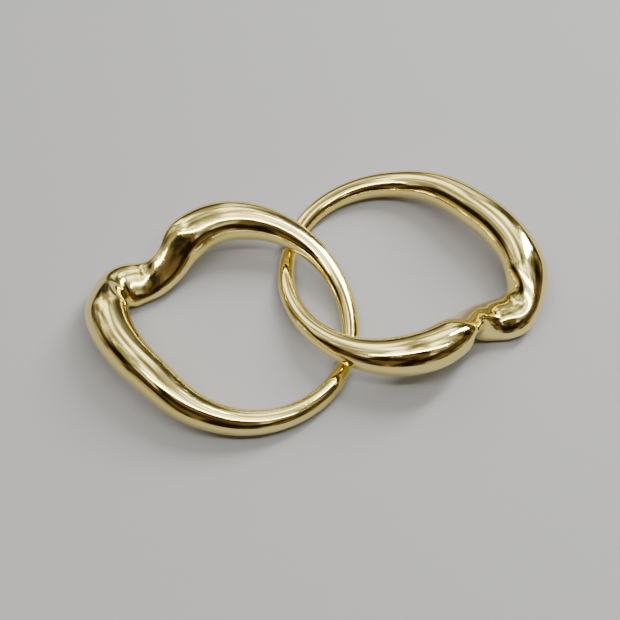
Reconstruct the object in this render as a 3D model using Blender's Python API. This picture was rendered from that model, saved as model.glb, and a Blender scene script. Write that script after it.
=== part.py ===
"""Metal ring disentanglement puzzle: two identical cast rings, linked, lying on a table.

Metres, +Z up. The origin is on the table, on the vertical axis about which the right ring is the
left ring turned by half a turn. +X runs from the left ring's centre to the right ring's centre.
Each ring is one bar, thick beside its twisted kink and thin on the far side, where a narrow gap
parts its two tips. In each loop, the other ring's bar passes over that gap.
"""

import math

import bmesh
import bpy
from mathutils import Vector

MM = 0.001
CENTRE_X = 15.2 * MM  # from the origin to each ring's centre
GAP_ANGLE = -38.0  # where the gap is, in degrees round the ring's centre from +X
GAP_WIDTH = 1.4 * MM  # clear width between the two tips
TIP_LENGTH = 0.5 * MM  # the length over which each tip rounds off
KINK_ANGLE = 129.0

SIDES = 20  # points round the bar
STEP_ANGLE = 4.0  # degrees between cross-sections on the plain bar
KINK_STEP_ANGLE = 1.5  # degrees between cross-sections in the kink
KINK_REACH = 32.0  # degrees either side of the kink that take the finer step
TIP_STEPS = 4

# Each profile goes once round the ring, as (degrees, value), and repeats after 360 degrees.
# Bar centre's distance from the ring's centre, mm.
PLAN_RADIUS = (
    (-34, 20.0), (4, 19.4), (40, 19.2), (69, 18.5), (86, 17.6), (98, 16.5), (109, 15.8), (119, 15.4),
    (142, 20.0), (149, 20.5), (158, 20.3), (170, 19.2), (188, 17.7), (208, 16.9), (239, 18.2),
    (272, 19.6), (300, 20.2),
)
# Bar centre's height above the table, mm: high over the other ring, low under it.
HEIGHT = (
    (-34, 1.15), (-14, 1.7), (4, 2.6), (24, 4.0), (45, 5.2), (60, 5.9), (75, 6.4), (88, 6.4), (98, 6.2),
    (109, 5.2), (118, 3.6), (141, 2.9), (149, 4.1), (160, 5.0), (188, 5.6), (210, 5.2), (239, 3.9),
    (258, 2.9), (280, 2.2), (305, 1.7),
)
# Half of the bar's thickness across the widest way of its cross-section, mm.
HALF_WIDTH = (
    (-38, 1.3), (-14, 1.5), (4, 1.62), (24, 1.95), (45, 2.6), (69, 3.4), (97, 3.75), (109, 3.7),
    (119, 3.6), (141, 4.3), (151, 3.95), (170, 3.6), (188, 3.4), (220, 3.0), (256, 2.2), (288, 1.72),
    (308, 1.5),
)
# Half of the bar's thickness the other way, mm.
HALF_DEPTH = (
    (-37, 1.08), (-14, 1.38), (4, 1.58), (24, 1.95), (45, 2.5), (69, 3.2), (88, 3.3), (98, 3.1), (109, 2.7),
    (119, 2.6), (141, 2.4), (149, 2.9), (165, 3.3), (188, 3.3), (220, 3.0), (256, 2.2), (288, 1.7),
    (308, 1.4),
)
# Tilt of the cross-section's wide way, degrees: positive lifts its outer edge.
TILT = (
    (-37, 0), (45, 0), (75, 4), (86, 14), (98, 32), (109, 40), (117, 36), (142, -30), (149, -34),
    (158, -28), (170, -22), (188, -18), (215, -8), (250, 0),
)
# Between these angles the bar runs through KINK_SECTIONS instead of the profiles above.
KINK_START = 101
KINK_END = 156
EASE_ANGLE = 2.5  # degrees between the neighbours that each cross-section is averaged with
HARMONICS = (1.0, 1.0, 0.7, 0.4)  # how much of each is kept in the kink's cross-sections
# Cross-sections through the kink: degrees round the ring, a plan point, the outward direction in
# degrees, then twelve (outward, up) points round the bar from its outer edge over the top, mm.
KINK_SECTIONS = (
    (110, (-5.2, 15.0), 110, (
        (2.8, 7.1), (2.0, 7.8), (0.7, 8.0), (-0.8, 7.3), (-2.1, 6.3), (-3.2, 5.2),
        (-3.7, 4.0), (-3.4, 2.8), (-2.2, 2.3), (-0.9, 2.5), (0.4, 3.4), (1.7, 5.1),
    )),
    (117, (-7.5, 0), 90, (
        (15.9, 6.0), (15.0, 6.4), (13.8, 6.2), (12.6, 5.6), (11.5, 4.8), (10.6, 3.9),
        (10.0, 2.8), (10.3, 1.7), (11.6, 1.0), (13.6, 0.7), (16.0, 0.9), (16.0, 3.4),
    )),
    (123, (-9.3, 0), 90, (
        (14.8, 5.5), (13.9, 5.7), (12.9, 5.5), (11.8, 5.0), (10.8, 4.3), (10.0, 3.4),
        (9.6, 2.3), (9.9, 1.2), (11.1, 0.5), (13.5, 0.3), (16.4, 0.7), (16.0, 3.0),
    )),
    (128, (-11.0, 0), 90, (
        (15.9, 3.5), (15.1, 4.2), (14.1, 4.5), (12.8, 4.4), (11.5, 3.9), (10.3, 3.2),
        (9.5, 2.2), (9.7, 1.2), (11.0, 0.4), (13.5, 0.1), (16.3, 0.4), (16.9, 1.9),
    )),
    (133, (-12.6, 0), 90, (
        (16.9, 2.9), (16.1, 4.1), (14.9, 4.8), (13.4, 4.9), (11.9, 4.4), (10.4, 3.4),
        (9.4, 2.2), (9.5, 1.0), (11.0, 0.3), (13.4, 0.1), (16.2, 0.4), (17.3, 1.6),
    )),
    (140, (-14.6, 12.5), 105, (
        (4.6, 2.7), (3.8, 4.1), (2.4, 4.9), (0.8, 5.0), (-0.7, 4.5), (-2.0, 3.7),
        (-3.1, 2.6), (-3.6, 1.4), (-2.3, 0.5), (0.2, 0.1), (2.9, 0.6), (4.3, 1.5),
    )),
    (147, (-16.6, 11.6), 121, (
        (3.5, 2.4), (3.6, 3.9), (2.9, 5.2), (1.6, 6.0), (0.3, 6.3), (-1.0, 6.0),
        (-2.2, 4.9), (-3.0, 3.4), (-3.1, 1.9), (-1.9, 0.9), (0.3, 0.5), (2.3, 1.1),
    )),
)


def smooth_between(places, values, place):
    """Smooth curve through four values at four places, read between the second and the third."""
    span = places[2] - places[1]
    slope_1 = (values[2] - values[0]) / (places[2] - places[0]) * span
    slope_2 = (values[3] - values[1]) / (places[3] - places[1]) * span
    t = (place - places[1]) / span
    return (
        values[1] * (2 * t**3 - 3 * t**2 + 1)
        + slope_1 * (t**3 - 2 * t**2 + t)
        + values[2] * (3 * t**2 - 2 * t**3)
        + slope_2 * (t**3 - t**2)
    )


def profile_value(profile, angle):
    """Smooth periodic curve through the profile's points, at an angle in degrees."""
    count = len(profile)
    first = profile[0][0]
    angle = first + (angle - first) % 360.0
    index = max(i for i in range(count) if profile[i][0] <= angle)
    places = []
    values = []
    for i in range(index - 1, index + 3):
        turns, place = divmod(i, count)
        places.append(profile[place][0] + 360.0 * turns)
        values.append(profile[place][1])
    return smooth_between(places, values, angle)


def plan_point(angle):
    radius = profile_value(PLAN_RADIUS, angle) * MM
    turn = math.radians(angle)
    return radius * math.cos(turn), radius * math.sin(turn)


def plain_section(angle, shrink):
    """One oval cross-section of the bar, in the upright plane square to the bar's run in plan."""
    x, y = plan_point(angle)
    x_before, y_before = plan_point(angle - 0.2)
    x_after, y_after = plan_point(angle + 0.2)
    run = math.hypot(x_after - x_before, y_after - y_before)
    out_x = (y_after - y_before) / run
    out_y = -(x_after - x_before) / run
    height = profile_value(HEIGHT, angle) * MM
    half_width = profile_value(HALF_WIDTH, angle) * MM * shrink
    half_depth = profile_value(HALF_DEPTH, angle) * MM * shrink
    tilt = math.radians(profile_value(TILT, angle))
    points = []
    for k in range(SIDES):
        turn = 2 * math.pi * k / SIDES
        wide = half_width * math.cos(turn)
        deep = half_depth * math.sin(turn)
        outward = wide * math.cos(tilt) - deep * math.sin(tilt)
        upward = wide * math.sin(tilt) + deep * math.cos(tilt)
        points.append(Vector((x + out_x * outward, y + out_y * outward, height + upward)))
    return points


def kink_section(plan, direction, outline):
    """One cross-section in the kink: the outline rounded off to its first few harmonics."""
    out_x = math.cos(math.radians(direction))
    out_y = math.sin(math.radians(direction))
    points = []
    for k in range(SIDES):
        outward = 0.0
        upward = 0.0
        for i, (point_out, point_up) in enumerate(outline):
            turn = 2 * math.pi * (k / SIDES - i / len(outline))
            weight = 1.0 + 2.0 * sum(part * math.cos((n + 1) * turn) for n, part in enumerate(HARMONICS))
            outward += weight * point_out / len(outline)
            upward += weight * point_up / len(outline)
        points.append(Vector((plan[0] + out_x * outward, plan[1] + out_y * outward, upward)) * MM)
    return points


def kink_rows():
    """(angle, points) of the sections that the kink runs through, with two plain ones at each end."""
    rows = [(angle, plain_section(angle, 1.0)) for angle in (KINK_START - 7, KINK_START)]
    rows.extend((row[0], kink_section(*row[1:])) for row in KINK_SECTIONS)
    rows.extend((angle, plain_section(angle, 1.0)) for angle in (KINK_END, KINK_END + 9))
    return rows


def sharp_section(angle, shrink, rows):
    if not KINK_START < angle < KINK_END:
        return plain_section(angle, shrink)
    index = max(i for i in range(len(rows)) if rows[i][0] <= angle)
    nearby = rows[index - 1 : index + 3]
    places = [row[0] for row in nearby]
    return [smooth_between(places, [row[1][k] for row in nearby], angle) for k in range(SIDES)]


def section_points(angle, shrink, rows):
    """The cross-section averaged with its neighbours, so that the bar flows through the kink."""
    points = [Vector((0, 0, 0)) for k in range(SIDES)]
    for share, step in ((1, -2), (4, -1), (6, 0), (4, 1), (1, 2)):
        for k, point in enumerate(sharp_section(angle + step * EASE_ANGLE, shrink, rows)):
            points[k] += point * share / 16
    return points


def section_angles():
    """(angle, shrink) of each cross-section from one tip round to the other."""
    radius = profile_value(PLAN_RADIUS, GAP_ANGLE) * MM
    half_gap = math.degrees(0.5 * GAP_WIDTH / radius)
    tip = math.degrees(TIP_LENGTH / radius)
    start = GAP_ANGLE + half_gap
    end = GAP_ANGLE + 360.0 - half_gap
    rounding = []
    for k in range(1, TIP_STEPS):
        turn = 0.5 * math.pi * k / TIP_STEPS
        rounding.append((tip * (1 - math.cos(turn)), math.sin(turn)))
    sections = [(start + along, shrink) for along, shrink in rounding]
    angle = start + tip
    while angle < end - tip - 0.5 * STEP_ANGLE:
        sections.append((angle, 1.0))
        angle += KINK_STEP_ANGLE if abs(angle - KINK_ANGLE) < KINK_REACH else STEP_ANGLE
    sections.append((end - tip, 1.0))
    sections.extend((end - along, shrink) for along, shrink in reversed(rounding))
    return start, end, sections


def ring_mesh(name):
    start, end, sections = section_angles()
    mesh = bmesh.new()
    rows = kink_rows()
    loops = []
    for angle, shrink in sections:
        loops.append([mesh.verts.new(p) for p in section_points(angle, shrink, rows)])
    for loop, following in zip(loops, loops[1:]):
        for k in range(SIDES):
            after = (k + 1) % SIDES
            mesh.faces.new((loop[k], loop[after], following[after], following[k]))
    for angle, loop in ((start, loops[0]), (end, loops[-1])):
        x, y = plan_point(angle)
        pole = mesh.verts.new((x, y, profile_value(HEIGHT, angle) * MM))
        for k in range(SIDES):
            mesh.faces.new((loop[k], loop[(k + 1) % SIDES], pole))
    bmesh.ops.recalc_face_normals(mesh, faces=mesh.faces)
    lowest = min(v.co.z for v in mesh.verts)
    for v in mesh.verts:
        v.co.z -= lowest
        v.co.x -= CENTRE_X
    data = bpy.data.meshes.new(name)
    mesh.to_mesh(data)
    mesh.free()
    data.shade_smooth()
    return data


def plating(name, colour):
    material = bpy.data.materials.new(name)
    material.use_nodes = True
    shader = material.node_tree.nodes["Principled BSDF"]
    shader.inputs["Base Color"].default_value = (*colour, 1.0)
    shader.inputs["Metallic"].default_value = 1.0
    shader.inputs["Roughness"].default_value = 0.08
    return material


def add_ring(name, turn_degrees, material):
    ring = bpy.data.objects.new(name, ring_mesh(name))
    ring.rotation_euler[2] = math.radians(turn_degrees)
    ring.data.materials.append(material)
    bpy.context.scene.collection.objects.link(ring)
    return ring


for old in list(bpy.data.objects):
    bpy.data.objects.remove(old)
add_ring("left_ring", 0.0, plating("left_plating", (0.84, 0.70, 0.28)))
add_ring("right_ring", 180.0, plating("right_plating", (0.84, 0.70, 0.28)))
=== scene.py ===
"""Looks of the linked ring puzzle: fine ring meshes with polished pale gold plating, in a plain studio.

Metres, +Z up, in the frame of the CAD rings. Both rings are the same shape, one turned by half a turn
about the vertical axis through the origin.
"""

import math

import bpy
import numpy as np
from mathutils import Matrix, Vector


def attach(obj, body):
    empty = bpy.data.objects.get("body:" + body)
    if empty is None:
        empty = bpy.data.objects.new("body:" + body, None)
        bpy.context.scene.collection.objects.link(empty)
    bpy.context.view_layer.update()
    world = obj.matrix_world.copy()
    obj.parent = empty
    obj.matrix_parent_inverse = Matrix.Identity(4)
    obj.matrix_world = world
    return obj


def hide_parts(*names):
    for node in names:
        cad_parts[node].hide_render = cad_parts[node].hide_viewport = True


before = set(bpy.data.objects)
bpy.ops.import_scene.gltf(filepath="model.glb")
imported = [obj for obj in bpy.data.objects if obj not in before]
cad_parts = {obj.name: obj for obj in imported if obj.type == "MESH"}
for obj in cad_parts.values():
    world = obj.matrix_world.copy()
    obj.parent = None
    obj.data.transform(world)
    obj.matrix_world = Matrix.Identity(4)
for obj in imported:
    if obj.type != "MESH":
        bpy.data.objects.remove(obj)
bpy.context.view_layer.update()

MM = 0.001

# The camera looks at the origin from the front left, and the small shift frames the pair.
CAMERA_AZIMUTH = -19.0  # degrees from straight in front, negative to the left
CAMERA_ELEVATION = 56.0  # degrees above the table
CAMERA_DISTANCE = 276 * MM
CAMERA_LENS = 95.8
CAMERA_SHIFT = (-0.0129, -0.0045)

FLOOR_SIDE = 3.0
FLOOR_COLOUR = (0.29, 0.29, 0.30)
FLOOR_ROUGHNESS = 0.9

# Soft lights, aimed at the origin: name, place, size, power in watts, colour.
LIGHTS = (
    ("front_strip", (-0.05, -0.16, 0.56), (0.75, 0.06), 3.0, (1.0, 0.99, 0.96)),
    ("side_strip", (0.34, 0.16, 0.34), (0.08, 0.35), 4.0, (1.0, 0.99, 0.97)),
)

# The studio's brightness, as (height, colour) stops from the horizon at 0 to straight above at 1.
FRONT_SKY = (
    (0.0, (0.24, 0.20, 0.15)), (0.16, (0.12, 0.09, 0.06)), (0.30, (0.030, 0.019, 0.011)),
    (0.61, (0.040, 0.026, 0.016)), (0.70, (0.85, 0.84, 0.79)), (0.85, (1.25, 1.24, 1.18)),
    (1.0, (1.35, 1.34, 1.30)),
)
BACK_SKY = (
    (0.0, (0.08, 0.07, 0.05)), (0.12, (0.20, 0.18, 0.14)), (0.35, (0.72, 0.70, 0.63)),
    (1.0, (1.35, 1.34, 1.30)),
)
BACK_SKY_EDGE = (0.35, 0.80)  # how far back the front sky starts to give way, and has given way
STUDIO_STRENGTH = 0.85
# A dark flag in front of the rings draws the dark bands along the bars.
FLAG_DIRECTION = (-0.32, -0.58, 0.75)  # towards its middle
FLAG_EDGE = (0.84, 0.89)  # how nearly a direction points at the middle where the flag starts, and is full
FLAG_COLOUR = (0.045, 0.030, 0.020, 1)
# Broad dim and bright patches multiply the studio's brightness and break up the bands.
PATCH_SCALE = 2.2
PATCHES = ((0.37, (0.15, 0.13, 0.10)), (0.51, (0.74, 0.71, 0.65)), (0.62, (4.4, 4.4, 4.3)))

# Plating: the scales are those of its noise textures, larger for finer marks.
DEEP_GOLD = (0.86, 0.72, 0.24)
PALE_GOLD = (0.91, 0.78, 0.31)
TONE_SCALE = 90
HAZE_SCALE = 240
POLISHED_ROUGHNESS = (0.05, 0.12)
SCRATCHED_ROUGHNESS = (0.2, 0.3)
SCRATCH_STRETCH = (0.35, 14, 1)  # drawn out along the bar, close together round it
SCRATCH_DEPTH = 0.0012 * MM
PIT_SCALE = 900
PIT_DEPTH = 0.01 * MM
WAVE_SCALE = 150
WAVE_HEIGHT = 0.03 * MM

# Ring shape: the same profiles as the CAD rings, drawn much finer.
CENTRE_X = 15.2 * MM
GAP_ANGLE = -38.0
GAP_WIDTH = 1.4 * MM
TIP_LENGTH = 0.5 * MM
SIDES = 72  # points round the bar
STEP_ANGLE = 0.75  # degrees between cross-sections
TIP_STEPS = 12
RUN_STEP = 0.2  # degrees either side over which the bar's run in plan is measured
BAR_MAP_STEP = 0.25  # mm between cross-sections on the texture map
BAR_MAP_GIRTH = 16.0  # mm round the bar on the texture map

# Each profile goes once round the ring, as (degrees, value in mm or degrees).
PLAN_RADIUS = (
    (-34, 20.0), (4, 19.4), (40, 19.2), (69, 18.5), (86, 17.6), (98, 16.5), (109, 15.8), (119, 15.4),
    (142, 20.0), (149, 20.5), (158, 20.3), (170, 19.2), (188, 17.7), (208, 16.9), (239, 18.2),
    (272, 19.6), (300, 20.2),
)
HEIGHT = (
    (-34, 1.15), (-14, 1.7), (4, 2.6), (24, 4.0), (45, 5.2), (60, 5.9), (75, 6.4), (88, 6.4), (98, 6.2),
    (109, 5.2), (118, 3.6), (141, 2.9), (149, 4.1), (160, 5.0), (188, 5.6), (210, 5.2), (239, 3.9),
    (258, 2.9), (280, 2.2), (305, 1.7),
)
HALF_WIDTH = (
    (-38, 1.3), (-14, 1.5), (4, 1.62), (24, 1.95), (45, 2.6), (69, 3.4), (97, 3.75), (109, 3.7),
    (119, 3.6), (141, 4.3), (151, 3.95), (170, 3.6), (188, 3.4), (220, 3.0), (256, 2.2), (288, 1.72),
    (308, 1.5),
)
HALF_DEPTH = (
    (-37, 1.08), (-14, 1.38), (4, 1.58), (24, 1.95), (45, 2.5), (69, 3.2), (88, 3.3), (98, 3.1), (109, 2.7),
    (119, 2.6), (141, 2.4), (149, 2.9), (165, 3.3), (188, 3.3), (220, 3.0), (256, 2.2), (288, 1.7),
    (308, 1.4),
)
TILT = (
    (-37, 0), (45, 0), (75, 4), (86, 14), (98, 32), (109, 40), (117, 36), (142, -30), (149, -34),
    (158, -28), (170, -22), (188, -18), (215, -8), (250, 0),
)
# Between these angles the bar runs through KINK_SECTIONS instead of the profiles above.
KINK_START = 101
KINK_END = 156
KINK_LEADS = (7, 9)  # degrees beyond the kink's start and end to the next plain cross-section
EASE_ANGLE = 2.5  # degrees between the neighbours that each cross-section is averaged with
EASE_WEIGHTS = ((1, -2), (4, -1), (6, 0), (4, 1), (1, 2))  # (weight, steps away)
HARMONICS = (1.0, 1.0, 0.7, 0.4)  # how much of each is kept in the kink's cross-sections
# Degrees round the ring, a plan point, the outward direction in degrees, then twelve (outward, up)
# points round the bar from its outer edge over the top, mm.
KINK_SECTIONS = (
    (110, (-5.2, 15.0), 110, (
        (2.8, 7.1), (2.0, 7.8), (0.7, 8.0), (-0.8, 7.3), (-2.1, 6.3), (-3.2, 5.2),
        (-3.7, 4.0), (-3.4, 2.8), (-2.2, 2.3), (-0.9, 2.5), (0.4, 3.4), (1.7, 5.1),
    )),
    (117, (-7.5, 0), 90, (
        (15.9, 6.0), (15.0, 6.4), (13.8, 6.2), (12.6, 5.6), (11.5, 4.8), (10.6, 3.9),
        (10.0, 2.8), (10.3, 1.7), (11.6, 1.0), (13.6, 0.7), (16.0, 0.9), (16.0, 3.4),
    )),
    (123, (-9.3, 0), 90, (
        (14.8, 5.5), (13.9, 5.7), (12.9, 5.5), (11.8, 5.0), (10.8, 4.3), (10.0, 3.4),
        (9.6, 2.3), (9.9, 1.2), (11.1, 0.5), (13.5, 0.3), (16.4, 0.7), (16.0, 3.0),
    )),
    (128, (-11.0, 0), 90, (
        (15.9, 3.5), (15.1, 4.2), (14.1, 4.5), (12.8, 4.4), (11.5, 3.9), (10.3, 3.2),
        (9.5, 2.2), (9.7, 1.2), (11.0, 0.4), (13.5, 0.1), (16.3, 0.4), (16.9, 1.9),
    )),
    (133, (-12.6, 0), 90, (
        (16.9, 2.9), (16.1, 4.1), (14.9, 4.8), (13.4, 4.9), (11.9, 4.4), (10.4, 3.4),
        (9.4, 2.2), (9.5, 1.0), (11.0, 0.3), (13.4, 0.1), (16.2, 0.4), (17.3, 1.6),
    )),
    (140, (-14.6, 12.5), 105, (
        (4.6, 2.7), (3.8, 4.1), (2.4, 4.9), (0.8, 5.0), (-0.7, 4.5), (-2.0, 3.7),
        (-3.1, 2.6), (-3.6, 1.4), (-2.3, 0.5), (0.2, 0.1), (2.9, 0.6), (4.3, 1.5),
    )),
    (147, (-16.6, 11.6), 121, (
        (3.5, 2.4), (3.6, 3.9), (2.9, 5.2), (1.6, 6.0), (0.3, 6.3), (-1.0, 6.0),
        (-2.2, 4.9), (-3.0, 3.4), (-3.1, 1.9), (-1.9, 0.9), (0.3, 0.5), (2.3, 1.1),
    )),
)


def smooth_between(places, values, place):
    """Smooth curve through four values at four places, read between the second and the third."""
    span = places[2] - places[1]
    slope_1 = (values[2] - values[0]) / (places[2] - places[0]) * span
    slope_2 = (values[3] - values[1]) / (places[3] - places[1]) * span
    t = (place - places[1]) / span
    return (
        values[1] * (2 * t**3 - 3 * t**2 + 1)
        + slope_1 * (t**3 - 2 * t**2 + t)
        + values[2] * (3 * t**2 - 2 * t**3)
        + slope_2 * (t**3 - t**2)
    )


def profile_value(profile, angle):
    """Smooth periodic curve through the profile's points, at an angle in degrees."""
    count = len(profile)
    first = profile[0][0]
    angle = first + (angle - first) % 360.0
    index = max(i for i in range(count) if profile[i][0] <= angle)
    places = []
    values = []
    for i in range(index - 1, index + 3):
        turns, place = divmod(i, count)
        places.append(profile[place][0] + 360.0 * turns)
        values.append(profile[place][1])
    return smooth_between(places, values, angle)


def plan_point(angle):
    """Where the bar's centre is in plan, from the ring's centre, in metres."""
    radius = profile_value(PLAN_RADIUS, angle) * MM
    turn = math.radians(angle)
    return radius * math.cos(turn), radius * math.sin(turn)


def plain_section(angle, shrink):
    """One oval cross-section of the bar, in the upright plane square to the bar's run in plan."""
    x, y = plan_point(angle)
    x_before, y_before = plan_point(angle - RUN_STEP)
    x_after, y_after = plan_point(angle + RUN_STEP)
    run = math.hypot(x_after - x_before, y_after - y_before)
    out_x = (y_after - y_before) / run
    out_y = -(x_after - x_before) / run
    height = profile_value(HEIGHT, angle) * MM
    half_width = profile_value(HALF_WIDTH, angle) * MM * shrink
    half_depth = profile_value(HALF_DEPTH, angle) * MM * shrink
    tilt = math.radians(profile_value(TILT, angle))
    points = []
    for k in range(SIDES):
        turn = 2 * math.pi * k / SIDES
        wide = half_width * math.cos(turn)
        deep = half_depth * math.sin(turn)
        outward = wide * math.cos(tilt) - deep * math.sin(tilt)
        upward = wide * math.sin(tilt) + deep * math.cos(tilt)
        points.append(Vector((x + out_x * outward, y + out_y * outward, height + upward)))
    return points


def kink_section(plan, direction, outline):
    """One cross-section in the kink: the outline rounded off to its first few harmonics."""
    out_x = math.cos(math.radians(direction))
    out_y = math.sin(math.radians(direction))
    points = []
    for k in range(SIDES):
        outward = 0.0
        upward = 0.0
        for i, (point_out, point_up) in enumerate(outline):
            turn = 2 * math.pi * (k / SIDES - i / len(outline))
            weight = 1.0 + 2.0 * sum(part * math.cos((n + 1) * turn) for n, part in enumerate(HARMONICS))
            outward += weight * point_out / len(outline)
            upward += weight * point_up / len(outline)
        points.append(Vector((plan[0] + out_x * outward, plan[1] + out_y * outward, upward)) * MM)
    return points


def kink_rows():
    """(angle, points) of the sections that the kink runs through, with two plain ones at each end."""
    rows = [(angle, plain_section(angle, 1.0)) for angle in (KINK_START - KINK_LEADS[0], KINK_START)]
    rows.extend((row[0], kink_section(*row[1:])) for row in KINK_SECTIONS)
    rows.extend((angle, plain_section(angle, 1.0)) for angle in (KINK_END, KINK_END + KINK_LEADS[1]))
    return rows


def sharp_section(angle, shrink, rows):
    """The cross-section as drawn, with the ones in the kink read smoothly between the rows."""
    if not KINK_START < angle < KINK_END:
        return plain_section(angle, shrink)
    index = max(i for i in range(len(rows)) if rows[i][0] <= angle)
    nearby = rows[index - 1 : index + 3]
    places = [row[0] for row in nearby]
    return [smooth_between(places, [row[1][k] for row in nearby], angle) for k in range(SIDES)]


def section_points(angle, shrink, rows):
    """The cross-section averaged with its neighbours, so that the bar flows through the kink."""
    total = sum(weight for weight, step in EASE_WEIGHTS)
    points = [Vector((0, 0, 0)) for k in range(SIDES)]
    for weight, step in EASE_WEIGHTS:
        for k, point in enumerate(sharp_section(angle + step * EASE_ANGLE, shrink, rows)):
            points[k] += point * weight / total
    return points


def section_angles():
    """Where the two tips end, and each cross-section's (angle, shrink), which rounds off the tips."""
    radius = profile_value(PLAN_RADIUS, GAP_ANGLE) * MM
    half_gap = math.degrees(0.5 * GAP_WIDTH / radius)
    tip = math.degrees(TIP_LENGTH / radius)
    start = GAP_ANGLE + half_gap
    end = GAP_ANGLE + 360.0 - half_gap
    rounding = []
    for k in range(1, TIP_STEPS):
        turn = 0.5 * math.pi * k / TIP_STEPS
        rounding.append((tip * (1 - math.cos(turn)), math.sin(turn)))
    plain = int((end - start - 2 * tip) / STEP_ANGLE)
    sections = [(start + along, shrink) for along, shrink in rounding]
    for k in range(plain + 1):
        sections.append((start + tip + (end - start - 2 * tip) * k / plain, 1.0))
    sections.extend((end - along, shrink) for along, shrink in reversed(rounding))
    return start, end, sections


def ring_mesh(name):
    """The bar swept round from one tip to the other, standing on the table, with its texture map."""
    start, end, sections = section_angles()
    rows = kink_rows()
    points = []
    for angle, shrink in sections:
        points.extend(section_points(angle, shrink, rows))
    faces = []
    for row in range(len(sections) - 1):
        for k in range(SIDES):
            after = (k + 1) % SIDES
            here = row * SIDES
            faces.append((here + k, here + SIDES + k, here + SIDES + after, here + after))
    for angle, row in ((start, 0), (end, len(sections) - 1)):
        pole = len(points)
        x, y = plan_point(angle)
        points.append(Vector((x, y, profile_value(HEIGHT, angle) * MM)))
        for k in range(SIDES):
            pair = (row * SIDES + k, row * SIDES + (k + 1) % SIDES)
            faces.append((*pair, pole) if row == 0 else (*reversed(pair), pole))
    points = np.array(points)
    points[:, 2] -= points[:, 2].min()
    points[:, 0] -= CENTRE_X
    mesh = bpy.data.meshes.new(name)
    mesh.from_pydata(points.tolist(), [], faces)
    mesh.shade_smooth()
    add_bar_map(mesh, len(sections))
    return mesh


def add_bar_map(mesh, rows):
    """Texture map in mm: along the bar, then round it."""
    around = BAR_MAP_GIRTH / SIDES
    places = []
    for row in range(rows - 1):
        for k in range(SIDES):
            left, right = row * BAR_MAP_STEP, (row + 1) * BAR_MAP_STEP
            low, high = k * around, (k + 1) * around
            places.extend((left, low, right, low, right, high, left, high))
    for row in (0, rows - 1):
        for k in range(SIDES):
            places.extend((row * BAR_MAP_STEP, k * around) * 3)
    mesh.uv_layers.new(name="bar").data.foreach_set("uv", places)


def noise(nodes, links, coordinates, scale, detail, stretch=(1, 1, 1)):
    mapping = nodes.new("ShaderNodeMapping")
    mapping.inputs["Scale"].default_value = stretch
    links.new(coordinates, mapping.inputs["Vector"])
    texture = nodes.new("ShaderNodeTexNoise")
    texture.inputs["Scale"].default_value = scale
    texture.inputs["Detail"].default_value = detail
    links.new(mapping.outputs["Vector"], texture.inputs["Vector"])
    return texture.outputs["Fac"]


def ramp(nodes, links, value, stops):
    """Colour that changes with the value through the (place, colour) stops."""
    node = nodes.new("ShaderNodeValToRGB")
    node.color_ramp.elements[0].position = stops[0][0]
    node.color_ramp.elements[0].color = (*stops[0][1], 1)
    node.color_ramp.elements[1].position = stops[-1][0]
    node.color_ramp.elements[1].color = (*stops[-1][1], 1)
    for place, colour in stops[1:-1]:
        node.color_ramp.elements.new(place).color = (*colour, 1)
    links.new(value, node.inputs["Fac"])
    return node.outputs["Color"]


def grey_ramp(nodes, links, value, places, greys=(0.0, 1.0)):
    """The same in grey, from the first grey at the first place to the second at the second."""
    return ramp(nodes, links, value, [(place, (grey,) * 3) for place, grey in zip(places, greys)])


def mix_colour(nodes, links, factor, first, second):
    node = nodes.new("ShaderNodeMix")
    node.data_type = "RGBA"
    links.new(factor, node.inputs["Factor"])
    links.new(first, node.inputs["A"])
    links.new(second, node.inputs["B"])
    return node.outputs["Result"]


def bump(nodes, links, height, distance, normal=None):
    node = nodes.new("ShaderNodeBump")
    node.inputs["Strength"].default_value = 1.0
    node.inputs["Distance"].default_value = distance
    links.new(height, node.inputs["Height"])
    if normal is not None:
        links.new(normal, node.inputs["Normal"])
    return node.outputs["Normal"]


def plating_material(name):
    """Mirror-polished pale gold: fine scratches, casting waviness, a few pits, slight drift in tone."""
    material = bpy.data.materials.new(name)
    material.use_nodes = True
    nodes = material.node_tree.nodes
    links = material.node_tree.links
    shader = nodes["Principled BSDF"]
    shader.inputs["Metallic"].default_value = 1.0
    place = nodes.new("ShaderNodeTexCoord").outputs["Object"]
    along = nodes.new("ShaderNodeUVMap")
    along.uv_map = "bar"
    scratch_noise = noise(nodes, links, along.outputs["UV"], 1.0, 3, SCRATCH_STRETCH)
    scratches = grey_ramp(nodes, links, scratch_noise, (0.60, 0.72))
    pits = grey_ramp(nodes, links, noise(nodes, links, place, PIT_SCALE, 2), (0.70, 0.78))
    tone = noise(nodes, links, place, TONE_SCALE, 2)
    links.new(ramp(nodes, links, tone, ((0.3, DEEP_GOLD), (0.7, PALE_GOLD))), shader.inputs["Base Color"])
    haze = noise(nodes, links, place, HAZE_SCALE, 4)
    polished = grey_ramp(nodes, links, haze, (0.35, 0.70), POLISHED_ROUGHNESS)
    scratched = grey_ramp(nodes, links, haze, (0.0, 1.0), SCRATCHED_ROUGHNESS)
    links.new(mix_colour(nodes, links, scratches, polished, scratched), shader.inputs["Roughness"])
    waved = bump(nodes, links, noise(nodes, links, place, WAVE_SCALE, 1), WAVE_HEIGHT)
    pitted = bump(nodes, links, pits, -PIT_DEPTH, waved)
    links.new(bump(nodes, links, scratches, -SCRATCH_DEPTH, pitted), shader.inputs["Normal"])
    return material


def add_ring(side, turn_degrees):
    ring = bpy.data.objects.new(side + "_ring_polished", ring_mesh(side + "_ring_polished"))
    ring.rotation_euler[2] = math.radians(turn_degrees)
    ring.data.materials.append(plating_material(side + "_plating_polished"))
    bpy.context.scene.collection.objects.link(ring)
    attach(ring, side + "_ring")
    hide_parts(side + "_ring")


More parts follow.
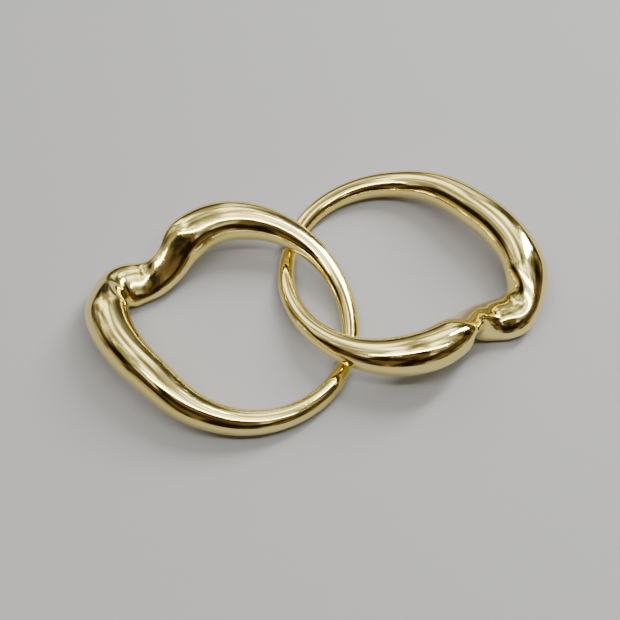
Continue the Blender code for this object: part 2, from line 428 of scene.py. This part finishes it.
def add_floor():
    half = 0.5 * FLOOR_SIDE
    corners = [(-half, -half, 0), (half, -half, 0), (half, half, 0), (-half, half, 0)]
    mesh = bpy.data.meshes.new("floor")
    mesh.from_pydata(corners, [], [(0, 1, 2, 3)])
    material = bpy.data.materials.new("floor")
    material.use_nodes = True
    shader = material.node_tree.nodes["Principled BSDF"]
    shader.inputs["Base Color"].default_value = (*FLOOR_COLOUR, 1)
    shader.inputs["Roughness"].default_value = FLOOR_ROUGHNESS
    mesh.materials.append(material)
    floor = bpy.data.objects.new("floor", mesh)
    bpy.context.scene.collection.objects.link(floor)


def add_light(name, place, size, power, colour):
    data = bpy.data.lights.new(name, "AREA")
    data.shape = "RECTANGLE"
    data.size, data.size_y = size
    data.energy = power
    data.color = colour
    lamp = bpy.data.objects.new(name, data)
    lamp.location = place
    lamp.rotation_euler = (-Vector(place)).to_track_quat("-Z", "Y").to_euler()
    lamp.visible_camera = False
    bpy.context.scene.collection.objects.link(lamp)


def add_studio():
    """The soft surroundings: dark low down in front, bright above and behind, in patches."""
    world = bpy.data.worlds.new("studio")
    bpy.context.scene.world = world
    world.use_nodes = True
    nodes = world.node_tree.nodes
    links = world.node_tree.links
    direction = nodes.new("ShaderNodeTexCoord").outputs["Generated"]
    split = nodes.new("ShaderNodeSeparateXYZ")
    links.new(direction, split.inputs["Vector"])
    front_sky = ramp(nodes, links, split.outputs["Z"], FRONT_SKY)
    back_sky = ramp(nodes, links, split.outputs["Z"], BACK_SKY)
    towards_back = grey_ramp(nodes, links, split.outputs["Y"], BACK_SKY_EDGE)
    sky = mix_colour(nodes, links, towards_back, front_sky, back_sky)
    flag_angle = nodes.new("ShaderNodeVectorMath")
    flag_angle.operation = "DOT_PRODUCT"
    flag_angle.inputs[1].default_value = FLAG_DIRECTION
    links.new(direction, flag_angle.inputs[0])
    flag = grey_ramp(nodes, links, flag_angle.outputs["Value"], FLAG_EDGE)
    flag_colour = nodes.new("ShaderNodeRGB")
    flag_colour.outputs["Color"].default_value = FLAG_COLOUR
    flagged_sky = mix_colour(nodes, links, flag, sky, flag_colour.outputs["Color"])
    patches = ramp(nodes, links, noise(nodes, links, direction, PATCH_SCALE, 3), PATCHES)
    lit_sky = nodes.new("ShaderNodeVectorMath")
    lit_sky.operation = "MULTIPLY"
    links.new(flagged_sky, lit_sky.inputs[0])
    links.new(patches, lit_sky.inputs[1])
    links.new(lit_sky.outputs["Vector"], nodes["Background"].inputs["Color"])
    nodes["Background"].inputs["Strength"].default_value = STUDIO_STRENGTH


def add_camera():
    data = bpy.data.cameras.new("camera")
    data.lens = CAMERA_LENS
    data.shift_x, data.shift_y = CAMERA_SHIFT
    azimuth = math.radians(CAMERA_AZIMUTH)
    elevation = math.radians(CAMERA_ELEVATION)
    level = math.cos(elevation)
    away = Vector((math.sin(azimuth) * level, -math.cos(azimuth) * level, math.sin(elevation)))
    camera = bpy.data.objects.new("camera", data)
    camera.location = away * CAMERA_DISTANCE
    camera.rotation_euler = (-away).to_track_quat("-Z", "Y").to_euler()
    bpy.context.scene.collection.objects.link(camera)
    bpy.context.scene.camera = camera


add_ring("left", 0.0)
add_ring("right", 180.0)
add_floor()
for light in LIGHTS:
    add_light(*light)
add_studio()
add_camera()
